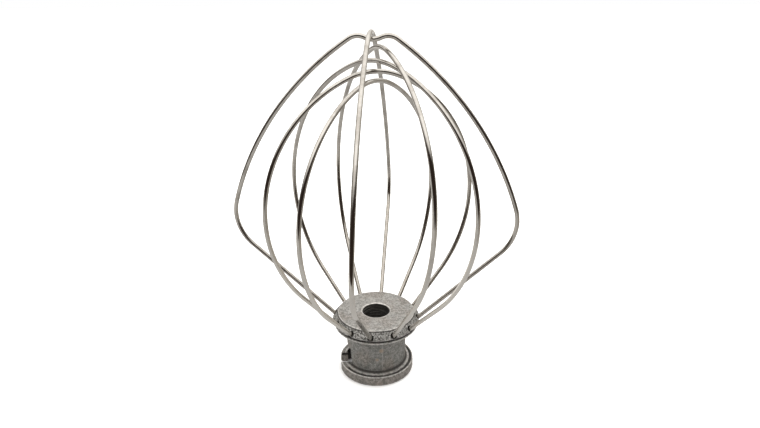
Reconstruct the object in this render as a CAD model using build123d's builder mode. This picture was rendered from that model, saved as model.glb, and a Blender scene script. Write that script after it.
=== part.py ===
from build123d import *

import os
from dataclasses import dataclass
from math import asin, atan2, cos, degrees, hypot, radians, sin, sqrt

# Wire whip for a stand mixer, in millimetres: one cast hub and six bent wire loops.
# The origin is the centre of the hub's mixer end. +Z runs up the axis to the crossing wires,
# and the lower wide loop lies close to the XZ plane.

# Hub body
hub_height = 27.5
flange_radius = 16.0
flange_height = 4.55
neck_foot_radius = 12.65
neck_radius = 12.9
lip_radius = 17.9
collar_radius = 18.8
cap_radius = 16.3

# Shallow groove in the flange's top, round one side only
groove_inner_radius = 14.5
groove_outer_radius = 15.35
groove_depth = 0.5
groove_start = 222.0
groove_turn = 170.0

# Shaft bore from the mixer end, and the smaller eye through the cap
shaft_bore_radius = 6.45
shaft_bore_depth = 20.5
eye_radius = 5.7
bore_chamfer = 0.6
eye_chamfer = 0.25

# J-shaped slot for the mixer shaft's pin, pulled straight out along one azimuth
slot_azimuth = 191.0
slot_half_width = 3.1
slot_top = 12.6
slot_seat_height = 4.6
slot_seat_reach = 6.3
slot_seat_reach_top = 5.3
slot_corner_radius = 0.9
slot_outer_radius = 17.0

# Behind the slot's leg: a pocket inside the neck, and a slit under the flange's top skin
pocket_reach = 4.8
pocket_top = 7.5
pocket_outer_radius = 12.6
slit_reach = 6.5
slit_bottom = 3.4
slit_top = 4.15

# Wire, and where each straight run leaves the collar
wire_radius = 0.9
root_radius = 17.5
root_height = hub_height - 2.8
anchor_depth = 2.8
socket_clearance = 0.05
mouth_radius = 1.35
mouth_length = 4.0


@dataclass
class Loop:
    """One wire loop. Heights are above the roots, angles are in degrees.

    The half towards the azimuth comes first, and the halves differ a little, because the wires
    are bent by hand: (half width, side radius), and a wide loop's corner height after them.
    A negative crown radius is a dip.
    """

    name: str
    azimuth: float
    halves: tuple
    crown_height: float
    crown_radius: float
    lean: float = 0.0
    sway: float = 0.0


# The two wide loops: straight run, corner, long bowed side, crown. The lower one's crown
# dips between two shoulders, and the upper one crosses over it there.
corner_radius = 18.6
shoulder_offset = 5.5
shoulder_radius = 5.8

wide_loops = [
    Loop("wide_loop_lower", -0.3, ((55.8, 127, 45.6), (57.4, 117, 45.6)), 114.2, -7.1, lean=1.1),
    Loop("wide_loop_upper", 89.1, ((56.3, 132, 45.1), (55.2, 125, 42.8)), 116.6, 14.6, lean=-0.5),
]

# The four egg-shaped loops nest below them: straight run, bowed side, crown.
egg_loops = [
    Loop("egg_loop_first", 119.9, ((46.0, 57.0),) * 2, 111.3, 21.8, lean=1.4, sway=-0.4),
    Loop("egg_loop_second", 148.0, ((46.0, 56.0),) * 2, 106.6, 25.8, lean=0.3, sway=-0.2),
    Loop("egg_loop_third", 30.5, ((44.2, 53.7),) * 2, 102.8, 27.0),
    Loop("egg_loop_fourth", 61.3, ((44.5, 51.5),) * 2, 99.4, 29.1, sway=0.2),
]


@dataclass
class Bend:
    """Arc in a loop's plane. A negative radius bends outwards instead of inwards."""

    r: float
    z: float
    radius: float


def wide_bends(loop, half):
    """Tangent arcs of half a wide loop: corner, side, and the crown or a shoulder and the dip."""
    crown = Bend(0, loop.crown_height - loop.crown_radius, loop.crown_radius)
    tops = [crown]
    if crown.radius < 0:
        drop = sqrt((shoulder_radius - crown.radius) ** 2 - shoulder_offset**2)
        tops = [Bend(shoulder_offset, crown.z - drop, shoulder_radius), crown]
    half_width, side_radius, corner_height = loop.halves[half]
    corner = Bend(half_width - corner_radius, corner_height, corner_radius)
    # The side's centre closes a triangle with the centres of the corner and of the bend above.
    across, up = tops[0].r - corner.r, tops[0].z - corner.z
    span = hypot(across, up)
    to_corner, to_top = side_radius - corner.radius, side_radius - tops[0].radius
    along = (to_corner**2 - to_top**2 + span**2) / (2 * span)
    aside = sqrt(to_corner**2 - along**2)
    side = Bend(
        corner.r + (along * across - aside * up) / span,
        corner.z + (along * up + aside * across) / span,
        side_radius,
    )
    return [corner, side] + tops


def egg_bends(loop, half):
    """Tangent arcs of half an egg-shaped loop: side and half of the crown."""
    crown = Bend(0, loop.crown_height - loop.crown_radius, loop.crown_radius)
    half_width, side_radius = loop.halves[half]
    inset = side_radius - half_width
    rise = sqrt((side_radius - crown.radius) ** 2 - inset**2)
    return [Bend(-inset, crown.z - rise, side_radius), crown]


def straight_run(bend):
    """Heading and length of the run from the root that is tangent to the first bend."""
    reach = hypot(bend.r - root_radius, bend.z)
    heading = atan2(bend.z, bend.r - root_radius) - asin(bend.radius / reach)
    return degrees(heading), sqrt(reach**2 - bend.radius**2)


def joint_heading(first, second):
    """Heading of the wire where two tangent bends meet."""
    swing = second.radius - first.radius
    return 90 + degrees(atan2((first.z - second.z) / swing, (first.r - second.r) / swing))


def turns(bends, start_heading):
    """Signed turn of each bend of half a loop, ending level on the axis."""
    joints = [joint_heading(a, b) for a, b in zip(bends, bends[1:])]
    headings = [start_heading] + joints + [180]
    return [end - start for start, end in zip(headings, headings[1:])]


def loop_plane(loop):
    """Plane of a loop: local X is the radius and local Y the height above the roots."""
    a = radians(loop.azimuth)
    upright = Plane((0, 0, root_height), x_dir=(cos(a), sin(a), 0), z_dir=(sin(a), -cos(a), 0))
    return Plane(upright.location * Rotation(loop.lean, 0, loop.sway))


def anchor_planes(loop, headings):
    """Planes across the two ends of a wire, inside the collar, facing up the straight runs."""
    plane = loop_plane(loop)
    planes = []
    for side, heading in zip((1, -1), headings):
        a = radians(heading)
        end = (side * (root_radius - anchor_depth * cos(a)), -anchor_depth * sin(a))
        ahead = (side * cos(a), sin(a))
        direction = plane.from_local_coords(ahead) - plane.origin
        planes.append(Plane(plane.from_local_coords(end), z_dir=direction))
    return planes


def wire_loop(loop, halves):
    """Round wire swept along a loop: run, bends up to the crown, bends down, run."""
    headings, lengths, arcs = [], [], []
    for bends in halves:
        heading, run_length = straight_run(bends[0])
        headings.append(heading)
        lengths.append(anchor_depth + run_length)
        arcs.append(list(zip([abs(b.radius) for b in bends], turns(bends, heading))))
    rising, falling = arcs
    crown_radius = rising[-1][0]
    crown_turn = rising[-1][1] + falling[-1][1]
    a = radians(headings[0])
    start = (root_radius - anchor_depth * cos(a), -anchor_depth * sin(a))
    with BuildPart() as wire:
        with BuildLine(loop_plane(loop)) as route:
            piece = PolarLine(start, lengths[0], headings[0])
            for radius, turn in rising[:-1] + [(crown_radius, crown_turn)] + falling[-2::-1]:
                piece = JernArc(piece @ 1, piece % 1, radius, turn)
            PolarLine(piece @ 1, lengths[1], direction=piece % 1)
        path = route.wire()
        with BuildSketch(Plane(path @ 0, z_dir=path % 0)):
            Circle(wire_radius)
        sweep(path=path)
    wire.part.label = loop.name
    return wire.part, anchor_planes(loop, headings)


wires = [wire_loop(loop, [wide_bends(loop, half) for half in (0, 1)]) for loop in wide_loops]
wires += [wire_loop(loop, [egg_bends(loop, half) for half in (0, 1)]) for loop in egg_loops]

# Outline of the hub from the mixer end up: (radius, height, rounding of that corner)
hub_corners = [
    (flange_radius, 0, 0.9),
    (flange_radius, flange_height, 0.25),
    (14.4, flange_height, 0.1),
    (14.2, 4.8, 0.15),
    (neck_foot_radius, 4.8, 1.1),
    (neck_radius, 20.4, 1.8),
    (17.7, 21.8, 0.15),
    (lip_radius, 22.0, 0.1),
    (lip_radius, 22.5, 0.15),
    (17.2, 22.7, 0.1),
    (17.2, 22.9, 0.1),
    (collar_radius, 24.4, 0.3),
    (16.5, 26.9, 0.1),
    (cap_radius, 27.0, 0.05),
    (cap_radius, hub_height, 0.2),
]

with BuildPart() as hub:
    with BuildSketch(Plane.XZ):
        with BuildLine():
            points = [(0, 0)] + [(r, z) for r, z, rounding in hub_corners] + [(0, hub_height)]
            FilletPolyline(*points, radius=[rounding for r, z, rounding in hub_corners])
            Line((0, hub_height), (0, 0))
        make_face()
    revolve(axis=Axis.Z)

    # Stepped bore
    with BuildSketch(Plane.XY):
        Circle(shaft_bore_radius)
    extrude(amount=shaft_bore_depth, mode=Mode.SUBTRACT)
    with BuildSketch(Plane.XY):
        Circle(eye_radius)
    extrude(amount=hub_height, mode=Mode.SUBTRACT)
    mouth_edge = hub.edges().filter_by(GeomType.CIRCLE).group_by(Axis.Z)[0].sort_by(SortBy.RADIUS)[0]
    chamfer(mouth_edge, bore_chamfer)
    eye_edge = hub.edges().filter_by(GeomType.CIRCLE).group_by(Axis.Z)[-1].sort_by(SortBy.RADIUS)[0]
    chamfer(eye_edge, eye_chamfer)

    # Groove in the flange's top
    groove_radial = Vector(cos(radians(groove_start)), sin(radians(groove_start)), 0)
    with BuildSketch(Plane((0, 0, 0), x_dir=groove_radial, z_dir=groove_radial.cross(Vector(0, 0, 1)))):
        with Locations(((groove_inner_radius + groove_outer_radius) / 2, flange_height)):
            Rectangle(groove_outer_radius - groove_inner_radius, 2 * groove_depth)
    revolve(axis=Axis.Z, revolution_arc=groove_turn, mode=Mode.SUBTRACT)

    # J-shaped pin slot: an open leg up from the mixer end, then the seat to one side
    slot_direction = (cos(radians(slot_azimuth)), sin(radians(slot_azimuth)), 0)
    slot_across = (-slot_direction[1], slot_direction[0], 0)
    slot_plane = Plane((0, 0, 0), x_dir=slot_across, z_dir=slot_direction)
    with BuildSketch(slot_plane) as slot:
        with BuildLine():
            Polyline(
                (-slot_half_width, -flange_height),
                (slot_half_width, -flange_height),
                (slot_half_width, slot_seat_height),
                (slot_seat_reach, slot_seat_height),
                (slot_seat_reach_top, slot_top),
                (-slot_half_width, slot_top),
                close=True,
            )
        make_face()
        fillet(slot.vertices().filter_by_position(Axis.Z, 0, slot_top), slot_corner_radius)
    extrude(amount=slot_outer_radius, mode=Mode.SUBTRACT)
    with BuildSketch(slot_plane):
        with Locations((-pocket_reach / 2, 0)):
            Rectangle(pocket_reach, 2 * pocket_top)
    extrude(amount=pocket_outer_radius, mode=Mode.SUBTRACT)
    with BuildSketch(slot_plane):
        with Locations((-slit_reach / 2, (slit_bottom + slit_top) / 2)):
            Rectangle(slit_reach, slit_top - slit_bottom)
    extrude(amount=slot_outer_radius, mode=Mode.SUBTRACT)

    # A socket for each wire end, with a wider recess at its mouth
    for _, ends in wires:
        for plane in ends:
            with BuildSketch(plane):
                Circle(wire_radius + socket_clearance)
            extrude(amount=anchor_depth, mode=Mode.SUBTRACT)
            with BuildSketch(plane.offset(anchor_depth)):
                Circle(mouth_radius)
            extrude(amount=mouth_length, mode=Mode.SUBTRACT)
hub.part.label = "hub"

os.makedirs("parts", exist_ok=True)
for part in [hub.part] + [wire for wire, _ in wires]:
    export_step(part, f"parts/{part.label}.step")
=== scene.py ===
from math import asin, atan2, cos, degrees, hypot, pi, radians, sin, sqrt

import bmesh
import bpy
from mathutils import Matrix, Vector, noise


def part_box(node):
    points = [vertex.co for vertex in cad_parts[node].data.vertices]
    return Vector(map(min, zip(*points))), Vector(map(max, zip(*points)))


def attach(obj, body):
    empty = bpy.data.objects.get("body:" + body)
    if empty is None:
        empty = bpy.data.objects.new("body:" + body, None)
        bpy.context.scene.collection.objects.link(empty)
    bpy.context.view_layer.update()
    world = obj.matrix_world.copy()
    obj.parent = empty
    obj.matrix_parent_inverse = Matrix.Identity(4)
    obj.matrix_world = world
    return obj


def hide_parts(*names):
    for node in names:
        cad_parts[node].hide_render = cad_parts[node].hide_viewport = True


# A stand mixer's wire whip: a cast hub and six bent wires. Lengths below are millimetres, except
# those of the bumps and the lamps, which are metres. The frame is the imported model's: +Z up the
# bore, the hub's mixer end at z = 0.

MM = 0.001
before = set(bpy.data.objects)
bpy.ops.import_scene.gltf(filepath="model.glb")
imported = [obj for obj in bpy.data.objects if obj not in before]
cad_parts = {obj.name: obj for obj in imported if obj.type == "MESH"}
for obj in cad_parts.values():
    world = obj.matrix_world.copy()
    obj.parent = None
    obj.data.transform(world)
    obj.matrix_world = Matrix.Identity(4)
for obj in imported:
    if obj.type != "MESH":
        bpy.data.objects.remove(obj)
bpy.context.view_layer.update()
_, hub_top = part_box("hub")
hub_height = hub_top.z / MM


# ---------------------------------------------------------------- shared helpers


class Nodes:
    """Short calls for building a node tree."""

    def __init__(self, tree):
        self.tree = tree

    def new(self, kind, **settings):
        made = self.tree.nodes.new(kind)
        for name, value in settings.items():
            setattr(made, name, value)
        return made

    def link(self, value, socket):
        if isinstance(value, bpy.types.NodeSocket):
            self.tree.links.new(value, socket)
        else:
            socket.default_value = value

    def math(self, operation, a, b=0.0, c=0.0):
        made = self.new("ShaderNodeMath", operation=operation)
        for socket, value in zip(made.inputs, (a, b, c)):
            self.link(value, socket)
        return made.outputs[0]

    def vmath(self, operation, a, b=(0, 0, 0)):
        made = self.new("ShaderNodeVectorMath", operation=operation)
        self.link(a, made.inputs[0])
        self.link(b, made.inputs[1])
        return made.outputs[0]

    def times(self, a, b):
        """Product of two numbers, or where both masks hold."""
        return self.math("MULTIPLY", a, b)

    def hypot(self, a, b):
        """Length of a step of a across and b up."""
        return self.math("SQRT", self.math("ADD", self.times(a, a), self.times(b, b)))

    def split(self, vector):
        """The x, y and z of a vector."""
        made = self.new("ShaderNodeSeparateXYZ")
        self.link(vector, made.inputs[0])
        return made.outputs

    def step(self, value, low, high):
        """Smooth 0 to 1 as value goes from low to high, in either order."""
        made = self.new("ShaderNodeMapRange", interpolation_type="SMOOTHSTEP")
        self.link(value, made.inputs[0])
        made.inputs[1].default_value = low
        made.inputs[2].default_value = high
        return made.outputs[0]

    def band(self, value, centre, half, soft):
        """1 within half of the centre, and down to 0 over soft."""
        away = self.math("ABSOLUTE", self.math("SUBTRACT", value, centre))
        return self.step(away, half + soft, half)

    def noise(self, vector, scale, detail, rough):
        made = self.new("ShaderNodeTexNoise")
        self.link(vector, made.inputs["Vector"])
        made.inputs["Scale"].default_value = scale
        made.inputs["Detail"].default_value = detail
        made.inputs["Roughness"].default_value = rough
        return made.outputs["Fac"]

    def cells(self, vector, scale):
        made = self.new("ShaderNodeTexVoronoi")
        self.link(vector, made.inputs["Vector"])
        made.inputs["Scale"].default_value = scale
        return made.outputs["Distance"]

    def mix(self, factor, a, b):
        made = self.new("ShaderNodeMix", data_type="RGBA")
        self.link(factor, made.inputs[0])
        self.link(a, made.inputs[6])
        self.link(b, made.inputs[7])
        return made.outputs[2]

    def blend(self, factor, a, b):
        """Number between a and b."""
        made = self.new("ShaderNodeMix", data_type="FLOAT")
        self.link(factor, made.inputs[0])
        self.link(a, made.inputs[2])
        self.link(b, made.inputs[3])
        return made.outputs[0]

    def bump(self, height, distance, strength, normal=None):
        made = self.new("ShaderNodeBump")
        made.inputs["Strength"].default_value = strength
        made.inputs["Distance"].default_value = distance
        self.link(height, made.inputs["Height"])
        if normal is not None:
            self.link(normal, made.inputs["Normal"])
        return made.outputs[0]


def material(name):
    made = bpy.data.materials.new(name)
    made.use_nodes = True
    shader = made.node_tree.nodes["Principled BSDF"]
    return made, Nodes(made.node_tree), shader


def millimetres(n):
    """Place on the object, in millimetres, as a vector."""
    coordinates = n.new("ShaderNodeTexCoord")
    return n.vmath("MULTIPLY", coordinates.outputs["Object"], (1000, 1000, 1000))


def new_object(name, mesh, paint):
    made = bpy.data.objects.new(name, mesh)
    bpy.context.scene.collection.objects.link(made)
    mesh.materials.append(paint)
    return made


# ---------------------------------------------------------------- wires

wire_radius = 0.9
sides = 28
root_radius = 17.5
root_height = hub_height - 2.8
anchor_depth = 2.8
corner_radius = 18.6
shoulder_offset = 5.5
shoulder_radius = 5.8

# node, azimuth, halves, crown height above the roots, crown radius, lean, sway. Each half has its
# half width, side radius and, on a wide loop, corner height. A negative crown radius is a dip.
wide_loops = [
    ("wide_loop_lower", -0.3, ((55.8, 127, 45.6), (57.4, 117, 45.6)), 114.2, -7.1, 1.1, 0.0),
    ("wide_loop_upper", 89.1, ((56.3, 132, 45.1), (55.2, 125, 42.8)), 116.6, 14.6, -0.5, 0.0),
]
egg_loops = [
    ("egg_loop_first", 119.9, ((46.0, 57.0),) * 2, 111.3, 21.8, 1.4, -0.4),
    ("egg_loop_second", 148.0, ((46.0, 56.0),) * 2, 106.6, 25.8, 0.3, -0.2),
    ("egg_loop_third", 30.5, ((44.2, 53.7),) * 2, 102.8, 27.0, 0.0, 0.0),
    ("egg_loop_fourth", 61.3, ((44.5, 51.5),) * 2, 99.4, 29.1, 0.0, 0.2),
]


def wide_bends(half, crown_height, crown_radius):
    """Arcs of half a wide loop, as (r, z, radius). A negative radius bends outwards."""
    half_width, side_radius, corner_height = half
    crown = (0.0, crown_height - crown_radius, crown_radius)
    tops = [crown]
    if crown_radius < 0:
        drop = sqrt((shoulder_radius - crown_radius) ** 2 - shoulder_offset**2)
        tops = [(shoulder_offset, crown[1] - drop, shoulder_radius), crown]
    corner = (half_width - corner_radius, corner_height, corner_radius)
    across, up = tops[0][0] - corner[0], tops[0][1] - corner[1]
    span = hypot(across, up)
    to_corner, to_top = side_radius - corner_radius, side_radius - tops[0][2]
    along = (to_corner**2 - to_top**2 + span**2) / (2 * span)
    aside = sqrt(to_corner**2 - along**2)
    side = (
        corner[0] + (along * across - aside * up) / span,
        corner[1] + (along * up + aside * across) / span,
        side_radius,
    )
    return [corner, side] + tops


def egg_bends(half, crown_height, crown_radius):
    """Arcs of half an egg-shaped loop, in the same form."""
    half_width, side_radius = half
    crown = (0.0, crown_height - crown_radius, crown_radius)
    inset = side_radius - half_width
    rise = sqrt((side_radius - crown_radius) ** 2 - inset**2)
    return [(-inset, crown[1] - rise, side_radius), crown]


def half_turns(bends):
    """First heading, length of the straight run, and (radius, turn) of each bend to the crown."""
    first = bends[0]
    reach = hypot(first[0] - root_radius, first[1])
    start = atan2(first[1], first[0] - root_radius) - asin(first[2] / reach)
    run = anchor_depth + sqrt(reach**2 - first[2] ** 2)
    headings = [start]
    for a, b in zip(bends, bends[1:]):
        swing = b[2] - a[2]
        headings.append(pi / 2 + atan2((a[1] - b[1]) / swing, (a[0] - b[0]) / swing))
    headings.append(pi)
    return start, run, [(abs(b[2]), h1 - h0) for b, h0, h1 in zip(bends, headings, headings[1:])]


def loop_route(halves, step=0.7):
    """Points and headings along a whole loop, in its own plane."""
    rising, falling = [half_turns(bends) for bends in halves]
    heading = rising[0]
    x = root_radius - anchor_depth * cos(heading)
    y = -anchor_depth * sin(heading)
    points = [(x, y, heading)]

    def straight(length):
        nonlocal x, y
        count = max(2, int(length / step))
        for _ in range(count):
            x += cos(heading) * length / count
            y += sin(heading) * length / count
            points.append((x, y, heading))

    straight(rising[1])
    for radius, turn in rising[2] + falling[2][::-1]:
        count = max(4, int(radius * abs(turn) / step))
        for _ in range(count):
            chord = 2 * radius * sin(abs(turn) / count / 2)
            heading += turn / count / 2
            x += cos(heading) * chord
            y += sin(heading) * chord
            heading += turn / count / 2
            points.append((x, y, heading))
    straight(falling[1])
    return points


def loop_matrix(azimuth, lean, sway):
    """The loop's plane: local X is the radius, local Y the height above the roots."""
    a = radians(azimuth)
    x_axis = Vector((cos(a), sin(a), 0))
    z_axis = Vector((sin(a), -cos(a), 0))
    y_axis = z_axis.cross(x_axis)
    turn = Matrix((x_axis, y_axis, z_axis)).transposed().to_4x4()
    tilt = Matrix.Rotation(radians(lean), 4, "X") @ Matrix.Rotation(radians(sway), 4, "Z")
    return Matrix.Translation((0, 0, root_height)) @ turn @ tilt


def wire_mesh(name, route, matrix):
    """Tube along a loop, with the length and girth in millimetres as its UV."""
    mesh = bpy.data.meshes.new(name)
    bm = bmesh.new()
    uv = bm.loops.layers.uv.new("along")
    rings = []
    travelled = [0.0]
    for a, b in zip(route, route[1:]):
        travelled.append(travelled[-1] + hypot(b[0] - a[0], b[1] - a[1]))
    for x, y, heading in route:
        inward = Vector((-sin(heading), cos(heading), 0))
        ring = []
        for i in range(sides):
            t = 2 * pi * i / sides
            offset = inward * cos(t) + Vector((0, 0, 1)) * sin(t)
            ring.append(bm.verts.new(matrix @ (Vector((x, y, 0)) + offset * wire_radius) * MM))
        rings.append(ring)
    girth = 2 * pi * wire_radius
    for k, (lower, upper) in enumerate(zip(rings, rings[1:])):
        for i in range(sides):
            j = (i + 1) % sides
            face = bm.faces.new((lower[i], lower[j], upper[j], upper[i]))
            face.smooth = True
            corners = ((k, i), (k, i + 1), (k + 1, i + 1), (k + 1, i))
            for loop, (row, column) in zip(face.loops, corners):
                loop[uv].uv = (travelled[row], girth * column / sides)
    bm.faces.new(rings[0][::-1])
    bm.faces.new(rings[-1])
    bmesh.ops.recalc_face_normals(bm, faces=bm.faces)
    bm.to_mesh(mesh)
    bm.free()
    return mesh


def wire_paint(name, seed):
    """Polished drawn stainless steel with draw lines, smudges, a faint brown tint, and painted light
    and shade on the low feet.
    """
    made, n, shader = material(name)
    place = n.vmath("ADD", millimetres(n), (seed * 37.0, seed * 11.0, 0))
    uv = n.new("ShaderNodeUVMap", uv_map="along").outputs[0]
    lines = n.noise(n.vmath("MULTIPLY", uv, (0.12, 9.0, 1)), 1.0, 4, 0.6)
    smudge = n.noise(place, 0.16, 4, 0.6)
    specks = n.noise(place, 2.2, 3, 0.6)
    tint = n.step(smudge, 0.40, 0.68)
    worn = n.step(n.math("ADD", lines, n.times(specks, 0.35)), 0.72, 0.92)
    colour = n.mix(tint, (0.70, 0.675, 0.635, 1), (0.52, 0.49, 0.45, 1))
    colour = n.mix(n.times(worn, 0.5), colour, (0.33, 0.29, 0.25, 1))
    # Painted light, after the photograph: the low front feet are painted paler, a painted reflection
    # of the bright floor in front, and the low back feet are painted darker and duller, painted
    # shade. The front feet are paler and the back ones duller, after the photograph: how far that is
    # the wire itself and how far its light isn't known
    _, y, z = n.split(millimetres(n))
    low = n.step(z, 85, 45)
    colour = n.mix(n.times(low, n.step(y, -6, -14)), colour, (0.90, 0.87, 0.82, 1))
    back_foot_shade = n.times(low, n.step(y, -14, 6))
    colour = n.mix(n.times(back_foot_shade, n.blend(worn, 0.35, 0.8)), colour, (0.40, 0.36, 0.31, 1))
    n.link(colour, shader.inputs["Base Color"])
    shader.inputs["Metallic"].default_value = 1.0
    gloss = n.math("ADD", n.blend(tint, 0.04, 0.10), n.times(specks, 0.05))
    n.link(n.blend(n.step(z, 46, 32), gloss, 0.2), shader.inputs["Roughness"])
    height = n.math("ADD", lines, n.times(smudge, 2.0))
    n.link(n.bump(height, 0.00003, 0.4), shader.inputs["Normal"])
    return made


loops = []
for rows, bends_of in ((wide_loops, wide_bends), (egg_loops, egg_bends)):
    for name, azimuth, halves, crown_height, crown_radius, lean, sway in rows:
        route = loop_route([bends_of(half, crown_height, crown_radius) for half in halves])
        loops.append((name, route, loop_matrix(azimuth, lean, sway)))
for count, (node_name, route, matrix) in enumerate(loops):
    mesh = wire_mesh(node_name + "_wire", route, matrix)
    wire = new_object(node_name + "_wire", mesh, wire_paint(node_name + "_steel", count))
    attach(wire, "root")
    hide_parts(node_name)


# ---------------------------------------------------------------- hub

flange_radius, flange_top = 16.0, 4.55
groove_inner, groove_outer, groove_floor = 14.5, 15.35, 4.05
groove_start, groove_end = 222.0, 392.0
ridge_radius, ridge_top = 14.2, 4.8
neck_foot_radius, neck_top_radius, neck_top = 12.65, 12.9, 20.4
lip_radius, lip_bottom, lip_top = 17.9, 22.0, 22.5
cone_foot_radius, cone_foot = 17.2, 22.9
collar_radius, collar_height = 18.8, 24.4
disc_radius, disc_foot = 16.3, 27.0
shaft_bore_radius, shaft_bore_depth = 6.45, 20.5
bore_chamfer = 0.6
eye_radius, eye_chamfer = 5.7, 0.4
mouth_radius, mouth_end = 1.35, 7.0
socket_clearance = 0.05
slot_azimuth = 191.0
parting_azimuth = -72.0

# Outline of the casting, from the mixer end up the outside and back down the bore:
# radius, height, rounding
profile = [
    (flange_radius, 0, 0.9),
    (flange_radius, flange_top, 0.25),
    (groove_outer, flange_top, 0.08),
    (groove_outer - 0.05, groove_floor, 0.08),
    (groove_inner, groove_floor, 0.08),
    (groove_inner - 0.1, flange_top, 0.05),
    (ridge_radius, ridge_top, 0.12),
    (neck_foot_radius, ridge_top, 1.1),
    (neck_top_radius, neck_top, 1.8),
    (lip_radius - 0.2, lip_bottom - 0.2, 0.15),
    (lip_radius, lip_bottom, 0.1),
    (lip_radius, lip_top, 0.15),
    (cone_foot_radius, lip_top + 0.2, 0.1),
    (cone_foot_radius, cone_foot, 0.1),
    (collar_radius, collar_height, 0.3),
    (disc_radius + 0.2, disc_foot - 0.1, 0.1),
    (disc_radius, disc_foot, 0.05),
    (disc_radius, hub_height, 0.2),
    (eye_radius + eye_chamfer, hub_height, 0.08),
    (eye_radius, hub_height - eye_chamfer, 0.08),
    (eye_radius, shaft_bore_depth, 0.1),
    (shaft_bore_radius, shaft_bore_depth, 0.1),
    (shaft_bore_radius, bore_chamfer, 0.1),
    (shaft_bore_radius + bore_chamfer, 0, 0.1),
]


def rounded(corners, step):
    """Closed polyline with its corners rounded, and its long runs divided."""
    outline = []
    total = len(corners)
    for i, (r, z, rounding) in enumerate(corners):
        here = Vector((r, z))
        before = (Vector(corners[i - 1][:2]) - here).normalized()
        after = (Vector(corners[(i + 1) % total][:2]) - here).normalized()
        angle = before.angle(after)
        back = rounding / max(1e-6, abs(sin(angle / 2) / cos(angle / 2)))
        centre = here + (before + after).normalized() * (rounding / sin(angle / 2))
        start, end = here + before * back, here + after * back
        sweep = pi - angle
        count = max(2, min(10, int(rounding * sweep / 0.12)))
        first, last = start - centre, end - centre
        opening = atan2(first.y, first.x)
        turn = (atan2(last.y, last.x) - opening + pi) % (2 * pi) - pi
        for k in range(count + 1):
            t = opening + turn * k / count
            outline.append(centre + Vector((cos(t), sin(t))) * rounding)
    divided = []
    for a, b in zip(outline, outline[1:] + outline[:1]):
        count = max(1, int((b - a).length / step + 0.5))
        divided += [a.lerp(b, k / count) for k in range(count)]
    return divided


def groove_share(azimuth, fade=3.0):
    """How deep the flange's groove is at an azimuth, from 0 to 1."""
    azimuth += 360 if azimuth < groove_start else 0
    inside = min(azimuth - groove_start, groove_end - azimuth)
    return min(1.0, max(0.0, inside / fade))


def lathe(outline, segments):
    mesh = bpy.data.meshes.new("hub_casting")
    bm = bmesh.new()
    columns = []
    for i in range(segments):
        a = 2 * pi * i / segments
        filled = 1 - groove_share(degrees(a))
        column = []
        for p in outline:
            z = p.y
            in_groove = groove_inner - 0.1 < p.x < groove_outer + 0.01
            if in_groove and groove_floor - 0.01 < z < flange_top:
                z += (flange_top - z) * filled
            column.append(bm.verts.new((p.x * cos(a) * MM, p.x * sin(a) * MM, z * MM)))
        columns.append(column)
    for left, right in zip(columns, columns[1:] + columns[:1]):
        for k in range(len(outline)):
            m = (k + 1) % len(outline)
            bm.faces.new((left[k], right[k], right[m], left[m]))
    bmesh.ops.recalc_face_normals(bm, faces=bm.faces)
    bm.to_mesh(mesh)
    bm.free()
    return mesh


def stack(name, matrix, levels, slot_index=0):
    """Cutter: outlines of equal length in local XY, joined from one local z to the next.

    slot_index is the hub material that the cut walls get.
    """
    mesh = bpy.data.meshes.new(name)
    bm = bmesh.new()
    rings = []
    for z, line in levels:
        rings.append([bm.verts.new(matrix @ Vector((x, y, z)) * MM) for x, y in line])
    bm.faces.new(rings[0][::-1])
    bm.faces.new(rings[-1])
    for below, above in zip(rings, rings[1:]):
        for i in range(len(below)):
            j = (i + 1) % len(below)
            bm.faces.new((below[i], below[j], above[j], above[i]))
    bmesh.ops.recalc_face_normals(bm, faces=bm.faces)
    for face in bm.faces:
        face.material_index = slot_index
    bm.to_mesh(mesh)
    bm.free()
    made = bpy.data.objects.new(name, mesh)
    bpy.context.scene.collection.objects.link(made)
    return made


def circle(radius, count=40):
    angles = [2 * pi * i / count for i in range(count)]
    return [(radius * cos(a), radius * sin(a)) for a in angles]


def combine(target, others, operation):
    """Adds the other shapes to the target's mesh, or takes them out of it."""
    for other in others:
        modifier = target.modifiers.new("combine", "BOOLEAN")
        modifier.operation = operation
        modifier.solver = "EXACT"
        modifier.material_mode = "INDEX"
        modifier.object = other
    bpy.context.view_layer.update()
    graph = bpy.context.evaluated_depsgraph_get()
    result = bpy.data.meshes.new_from_object(target.evaluated_get(graph))
    target.modifiers.clear()
    target.data = result
    for other in others:
        data = other.data
        bpy.data.objects.remove(other)
        bpy.data.meshes.remove(data)


def gather(target, others):
    """Puts separate shapes, which touch nothing, in the target's mesh."""
    bm = bmesh.new()
    bm.from_mesh(target.data)
    for other in others:
        bm.from_mesh(other.data)
        data = other.data
        bpy.data.objects.remove(other)
        bpy.data.meshes.remove(data)
    bm.to_mesh(target.data)
    bm.free()


def radial_matrix(azimuth):
    """Local Z points out along an azimuth, local X across it and local Y up."""
    a = radians(azimuth)
    z_axis = Vector((cos(a), sin(a), 0))
    x_axis = Vector((-sin(a), cos(a), 0))
    return Matrix((x_axis, z_axis.cross(x_axis), z_axis)).transposed().to_4x4()


def corner_arc(x, y, radius, start, end, count=6):
    """Points round a corner, from one angle to another in degrees."""
    angles = [radians(start + (end - start) * k / count) for k in range(count + 1)]
    return [(x + radius * cos(a), y + radius * sin(a)) for a in angles]


# The pin slot's J, the pocket behind its leg and the slit under the flange's skin, each across the
# slot's azimuth and up
slot_outline = [(-3.1, -4), (3.1, -4)]
slot_outline += corner_arc(4.0, 3.7, 0.9, 180, 90)
slot_outline += corner_arc(5.35, 5.5, 0.9, -90, 5)
slot_outline += corner_arc(4.5, 11.7, 0.9, 10, 90)
slot_outline += corner_arc(-2.2, 11.7, 0.9, 90, 180)
pocket_outline = [(-4.8, -4), (0, -4), (0, 7.5), (-4.8, 7.5)]
slit_outline = [(-6.5, 3.4), (-2, 3.4), (-2, 4.15), (-6.5, 4.15)]


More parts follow.
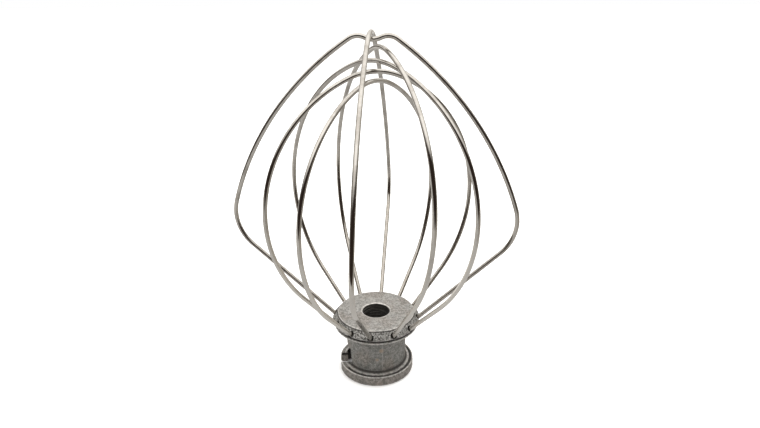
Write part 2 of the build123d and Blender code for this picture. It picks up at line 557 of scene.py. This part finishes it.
def build_hub():
    hub = new_object("hub_casting", lathe(rounded(profile, 0.3), 400), cast_paint())
    hub.data.materials.append(recess_shade_paint())
    # Material 1 is painted shade for the walls of the sockets, the pocket and the slit
    recess = 1
    outward = radial_matrix(slot_azimuth)
    slot_cutter = stack("slot_cutter", outward, [(0, slot_outline), (20, slot_outline)])
    pocket = stack("pocket_cutter", outward, [(0.5, pocket_outline), (12.6, pocket_outline)], recess)
    slit = stack("slit_cutter", outward, [(1, slit_outline), (19, slit_outline)], recess)
    combine(slot_cutter, [pocket, slit], "UNION")
    sockets = []
    for _, route, matrix in loops:
        for x, y, heading, side in ((*route[0], 1), (*route[-1], -1)):
            direction = Vector((cos(heading), sin(heading), 0)) * side
            ahead = (matrix.to_3x3() @ direction).normalized()
            turn = ahead.to_track_quat("Z", "Y").to_matrix().to_4x4()
            place = Matrix.Translation(matrix @ Vector((x, y, 0))) @ turn
            narrow, wide = circle(wire_radius + socket_clearance), circle(mouth_radius)
            levels = [(0, narrow), (anchor_depth, narrow), (anchor_depth, wide), (mouth_end, wide)]
            sockets.append(stack("socket_cutter", place, levels, recess))
    gather(slot_cutter, sockets)
    combine(hub, [slot_cutter], "DIFFERENCE")
    roughen(hub.data)
    for polygon in hub.data.polygons:
        polygon.use_smooth = True
    hub.data.set_sharp_from_angle(angle=radians(38))
    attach(hub, "root")
    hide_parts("hub")


def roughen(mesh):
    """Small casting unevenness: a granular cone and softly uneven rims."""
    normals = [v.normal.copy() for v in mesh.vertices]
    for vertex, normal in zip(mesh.vertices, normals):
        p = vertex.co / MM
        r = hypot(p.x, p.y)
        if r < 7.2:
            continue
        depth = 0.035 * noise.noise(p * 0.45) + 0.02 * noise.noise(p * 1.3)
        if 23.2 < p.z < 26.95 and r > 16.2:
            depth += 0.10 * noise.noise(p * 1.9) + 0.07 * noise.noise(p * 3.4)
        vertex.co += normal * (depth - 0.03) * MM


def recess_shade_paint():
    """Painted shade: the dark inside of the wire sockets, the pocket and the slit."""
    made, n, shader = material("cast_recess_shade")
    shade_mottle = n.noise(millimetres(n), 1.4, 3, 0.6)
    colour = n.mix(shade_mottle, (0.012, 0.011, 0.010, 1), (0.05, 0.046, 0.04, 1))
    n.link(colour, shader.inputs["Base Color"])
    shader.inputs["Metallic"].default_value = 0.3
    n.link(n.blend(shade_mottle, 0.6, 0.85), shader.inputs["Roughness"])
    return made


# Where the casting's edges are worn bright, with a painted highlight along them: radius and height
# of the edge, reach, share
worn_and_highlit_edges = [
    (flange_radius - 0.05, flange_top - 0.05, 0.30, 0.9),
    (lip_radius, 22.25, 0.42, 0.75),
    (disc_radius, hub_height - 0.05, 0.30, 1.0),
    (ridge_radius - 0.2, ridge_top, 0.40, 0.55),
    (eye_radius + 0.25, hub_height - 0.05, 0.42, 1.0),
    (flange_radius - 0.2, 0.3, 0.35, 0.5),
    (collar_radius - 0.05, collar_height - 0.1, 0.22, 0.4),
]

# Brown stains on the neck: place and reach
stains = [((3.55, -12.25, 15.4), 1.1), ((1.75, -12.65, 11.1), 0.8)]


def wear_and_highlight_mask(n, r, z, mottle):
    """Patchy bright rings along the edges: wear, and a painted highlight."""
    worn = 0.0
    for edge_radius, edge_height, reach, share in worn_and_highlit_edges:
        away = n.hypot(n.math("SUBTRACT", r, edge_radius), n.math("SUBTRACT", z, edge_height))
        ring = n.times(n.step(away, reach + 0.12, reach * 0.5), share)
        worn = n.math("MAXIMUM", worn, ring)
    patches = n.math("MULTIPLY_ADD", n.step(mottle, 0.38, 0.56), 0.6, 0.4)
    return n.times(worn, patches)


def crevice_shade_mask(n, r, z):
    """Painted shade at the neck's foot, in the flange's groove, over the lip and under the disc."""
    crease = n.times(n.band(r, 12.95, 0.2, 0.35), n.band(z, 5.0, 0.25, 0.6))
    groove = n.times(n.band(r, 14.92, 0.42, 0.12), n.band(z, groove_floor, 0.32, 0.2))
    above_lip = n.times(n.band(z, 22.95, 0.22, 0.16), n.step(r, 18.0, 17.6))
    above_lip = n.times(above_lip, n.step(r, 15, 16))
    below_disc = n.times(n.band(z, 26.95, 0.10, 0.12), n.step(r, 16.1, 16.2))
    dark = n.math("MAXIMUM", n.math("MAXIMUM", crease, groove), above_lip)
    return n.math("MAXIMUM", dark, n.times(below_disc, 0.75))


def parting_mask(n, x, y, r, mottle):
    """Crooked line through the axis, where the two halves of the mould met."""
    a = radians(parting_azimuth)
    aside = n.math("SUBTRACT", n.times(y, cos(a)), n.times(x, sin(a)))
    waver = n.times(n.math("SUBTRACT", mottle, 0.5), 0.8)
    crooked = n.math("ABSOLUTE", n.math("ADD", n.math("ABSOLUTE", aside), waver))
    return n.times(n.step(crooked, 0.26, 0.08), n.step(r, 6.2, 7.0))


def cast_paint():
    """Dull grey cast metal: mottled skin, granular cone, painted shade in the crevices and the bore,
    and edges worn bright with a painted highlight.
    """
    made, n, shader = material("cast_metal")
    place = millimetres(n)
    x, y, z = n.split(place)
    r = n.hypot(x, y)
    grain = n.noise(place, 2.3, 5, 0.7)
    mottle = n.noise(n.vmath("ADD", place, (9, 4, 2)), 0.75, 4, 0.65)
    cloud = n.noise(place, 0.16, 3, 0.5)
    grit = n.noise(place, 1.5, 4, 0.75)
    pits = n.step(n.cells(n.vmath("ADD", place, (3, 5, 1)), 0.8), 0.12, 0.30)

    # Zones of the casting
    top = hub_height - 0.2
    disc = n.times(n.step(z, top - 0.15, top), n.step(r, eye_radius + 0.05, eye_radius + 0.2))
    inside = n.times(n.step(r, 6.85, 6.7), n.step(z, top, top - 0.15))
    cone = n.times(n.band(z, 25.1, 1.75, 0.3), n.step(r, 16.1, 16.35))
    neck = n.times(n.band(z, 12.8, 7.6, 0.6), n.step(r, 7.5, 8.0))
    side = n.times(n.step(r, 15.7, 15.9), n.step(z, 4.6, 4.4))
    shelf = n.times(n.band(z, 4.6, 0.4, 0.1), n.step(r, 12.9, 13.1))

    base = n.mix(n.step(cloud, 0.35, 0.65), (0.19, 0.19, 0.178, 1), (0.24, 0.232, 0.22, 1))
    for zone, share, colour in (
        (disc, 0.85, (0.335, 0.326, 0.308, 1)),
        (neck, 0.85, (0.20, 0.198, 0.185, 1)),
        (side, 0.85, (0.225, 0.207, 0.187, 1)),
        (shelf, 0.7, (0.23, 0.222, 0.208, 1)),
    ):
        base = n.mix(n.times(zone, share), base, colour)

    # Brown haze in large patches
    haze = n.step(n.noise(n.vmath("ADD", place, (0, 20, 5)), 0.13, 2, 0.5), 0.46, 0.62)
    base = n.mix(n.times(haze, 0.4), base, (0.24, 0.205, 0.175, 1))

    # Mottling, each as pattern, gain, lowest shade
    shade = 1.0
    for pattern, gain, lowest in (
        (n.step(grain, 0.36, 0.64), 0.66, 0.66),
        (n.step(mottle, 0.38, 0.62), 0.50, 0.75),
        (cloud, 0.30, 0.85),
        (pits, 0.22, 0.78),
    ):
        shade = n.times(shade, n.math("MULTIPLY_ADD", pattern, gain, lowest))
    base = n.vmath("MULTIPLY", base, shade)
    gritty = n.mix(n.step(grit, 0.45, 0.57), (0.075, 0.072, 0.067, 1), (0.60, 0.59, 0.565, 1))
    base = n.mix(n.times(cone, n.blend(n.step(cloud, 0.4, 0.6), 0.45, 0.85)), base, gritty)

    # Fine scratches, most of them along or across the axis
    spread = n.vmath("MULTIPLY", place, (1.02, 1.02, 1.02))
    along = n.noise(n.vmath("MULTIPLY", spread, (3.0, 0.25, 0.4)), 1.0, 3, 0.6)
    across = n.noise(n.vmath("MULTIPLY", spread, (0.3, 0.5, 3.2)), 1.0, 3, 0.6)
    scratch = n.math("MAXIMUM", n.step(along, 0.66, 0.70), n.step(across, 0.66, 0.70))
    base = n.mix(n.times(scratch, 0.40), base, (0.50, 0.49, 0.47, 1))

    # The parting line is a faint light line, and a dark one down the flange's side
    seam = parting_mask(n, x, y, r, mottle)
    base = n.mix(n.times(seam, n.blend(side, 0.17, 0.0)), base, (0.66, 0.64, 0.60, 1))
    base = n.mix(n.times(seam, n.blend(side, 0.0, 0.65)), base, (0.10, 0.09, 0.08, 1))

    for middle, reach in stains:
        away = n.new("ShaderNodeVectorMath", operation="DISTANCE")
        n.link(place, away.inputs[0])
        away.inputs[1].default_value = middle
        uneven = n.math("ADD", away.outputs["Value"], grain)
        spot = n.step(uneven, reach + 0.75, reach * 0.5 + 0.35)
        base = n.mix(n.times(spot, 0.6), base, (0.34, 0.26, 0.19, 1))

    # Bright edges: wear, and a painted highlight on the rounded edges
    worn = wear_and_highlight_mask(n, r, z, mottle)
    base = n.mix(worn, base, (0.80, 0.78, 0.75, 1))
    # Painted shade in the crevices
    base = n.mix(n.times(crevice_shade_mask(n, r, z), 0.9), base, (0.03, 0.028, 0.025, 1))

    # Inside the bore: painted shade, dark, with tool marks round it
    turned = n.noise(n.vmath("MULTIPLY", place, (0.12, 0.12, 3.0)), 1.0, 4, 0.7)
    bore = n.mix(n.step(turned, 0.5, 0.68), (0.05, 0.048, 0.043, 1), (0.34, 0.33, 0.31, 1))
    base = n.mix(inside, base, bore)

    n.link(base, shader.inputs["Base Color"])
    n.link(n.blend(worn, n.blend(disc, 0.45, 0.55), 0.9), shader.inputs["Metallic"])
    rough = n.math("ADD", n.blend(disc, 0.44, 0.40), n.times(grain, 0.2))
    n.link(n.blend(worn, rough, 0.30), shader.inputs["Roughness"])
    skin = n.bump(n.math("ADD", n.times(grain, 0.6), mottle), 0.00022, 0.7)
    skin = n.bump(n.times(grit, cone), 0.0009, 0.9, skin)
    skin = n.bump(n.math("MULTIPLY_ADD", scratch, -0.5, pits), 0.00008, 0.5, skin)
    skin = n.bump(seam, 0.00015, 0.6, skin)
    n.link(skin, shader.inputs["Normal"])
    return made


build_hub()

# ---------------------------------------------------------------- floor, light and camera

floor_mesh = bpy.data.meshes.new("floor")
bm = bmesh.new()
bmesh.ops.create_circle(bm, cap_ends=True, segments=96, radius=12.0)
bm.to_mesh(floor_mesh)
bm.free()
floor_paint, n, shader = material("floor_paper")
fibres = n.noise(millimetres(n), 0.8, 4, 0.6)
n.link(n.mix(fibres, (0.90, 0.90, 0.90, 1), (0.94, 0.94, 0.94, 1)), shader.inputs["Base Color"])
shader.inputs["Roughness"].default_value = 0.9
shader.inputs["Specular IOR Level"].default_value = 0.1
shader.inputs["Emission Color"].default_value = (1, 1, 1, 1)
# The paper glows a little; the glow is left out under the hub, a painted contact shadow
x, y, _ = n.split(millimetres(n))
lit = n.step(n.hypot(x, y), 13, 19)
n.link(n.times(lit, 0.35), shader.inputs["Emission Strength"])
floor = new_object("floor", floor_mesh, floor_paint)
floor.visible_glossy = False

# The studio as the metal sees it: pale paper all round, brightest overhead, dimmer to the right
# and below, with a dark shape in front. The camera itself sees plain white.
world = bpy.data.worlds.new("studio")
bpy.context.scene.world = world
world.use_nodes = True
n = Nodes(world.node_tree)
background = world.node_tree.nodes["Background"]
across, depth, rise = n.split(n.new("ShaderNodeTexCoord").outputs["Generated"])


def ramp(value, stops):
    """Grey along a value from -1 to 1, through (place, grey) stops."""
    made = n.new("ShaderNodeValToRGB")
    n.link(n.math("MULTIPLY_ADD", value, 0.5, 0.5), made.inputs[0])
    made.color_ramp.interpolation = "EASE"
    elements = made.color_ramp.elements
    while len(elements) < len(stops):
        elements.new(0.5)
    for element, (place, shade) in zip(elements, stops):
        element.position = place * 0.5 + 0.5
        element.color = (shade, shade, shade, 1)
    return made.outputs[0]


front_room = ramp(
    rise, [(-1, 0.50), (-0.5, 0.52), (-0.3, 0.60), (0, 0.68), (0.5, 0.85), (0.8, 1.35)]
)
back_paper = ramp(
    rise, [(-1, 0.50), (-0.65, 0.48), (-0.4, 0.62), (-0.1, 0.88), (0.6, 1.00), (0.9, 1.35)]
)
room = n.mix(n.step(depth, -0.3, 0.5), front_room, back_paper)
right_shade = n.times(n.step(across, -0.05, 0.4), n.band(rise, -0.05, 0.28, 0.3))
room = n.mix(n.times(right_shade, 0.85), room, (0.33, 0.31, 0.28, 1))
left_shade = n.times(n.step(across, -0.35, -0.6), n.band(rise, 0.10, 0.14, 0.12))
room = n.mix(n.times(left_shade, 0.85), room, (0.08, 0.065, 0.055, 1))

# The dark shape of the camera and whoever holds it: an oval round a point a little to the right
shape_azimuth, shape_rise, oval = radians(13), 0.14, 2.4
sideways = n.math(
    "ADD", n.times(across, cos(shape_azimuth)), n.times(depth, sin(shape_azimuth))
)
toward = n.math(
    "SUBTRACT", n.times(across, sin(shape_azimuth)), n.times(depth, cos(shape_azimuth))
)
from_shape = n.hypot(sideways, n.times(n.math("SUBTRACT", rise, shape_rise), oval))
dark_shape = n.times(n.step(from_shape, 1.22, 0.92), n.step(toward, -0.1, 0.2))
room = n.mix(dark_shape, room, (0.032, 0.023, 0.019, 1))
room = n.vmath("MULTIPLY", room, (1.0, 0.975, 0.94))
seen = n.new("ShaderNodeLightPath").outputs["Is Camera Ray"]
n.link(n.mix(seen, room, (1, 1, 1, 1)), background.inputs["Color"])
background.inputs["Strength"].default_value = 1.0


def softbox(name, place, target, width, height, watts):
    """Lamp that lights the casting and the floor, but isn't mirrored in the metal."""
    data = bpy.data.lights.new(name, "AREA")
    data.shape = "RECTANGLE"
    data.size, data.size_y = width, height
    data.energy = watts
    lamp = bpy.data.objects.new(name, data)
    lamp.location = place
    lamp.rotation_euler = (Vector(target) - Vector(place)).to_track_quat("-Z", "Y").to_euler()
    lamp.visible_glossy = False
    bpy.context.scene.collection.objects.link(lamp)


softbox("overhead", (0.1, 0.25, 0.8), (0, 0, 0.03), 0.8, 0.8, 5.0)
softbox("front_left", (-0.55, -0.6, 0.55), (0, 0, 0.04), 0.35, 0.5, 1.6)
softbox("front_right", (0.65, -0.45, 0.45), (0, 0, 0.04), 0.25, 0.5, 1.4)

focus = Vector((1.90, 0.20, 71.71)) * MM
eye = Vector((24.24, -207.15, 152.48)) * MM
forward = (focus - eye).normalized()
right = forward.cross(Vector((0, 0, 1))).normalized()
up = right.cross(forward)
roll = radians(-0.33)
right, up = right * cos(roll) + up * sin(roll), up * cos(roll) - right * sin(roll)
camera_data = bpy.data.cameras.new("camera")
camera_data.sensor_width = 36.0
camera_data.lens = 26.43
camera_data.clip_start = 0.01
camera = bpy.data.objects.new("camera", camera_data)
camera.matrix_world = Matrix.Translation(eye) @ Matrix((right, up, -forward)).transposed().to_4x4()
bpy.context.scene.collection.objects.link(camera)
bpy.context.scene.camera = camera
bpy.context.scene.view_settings.view_transform = "Standard"
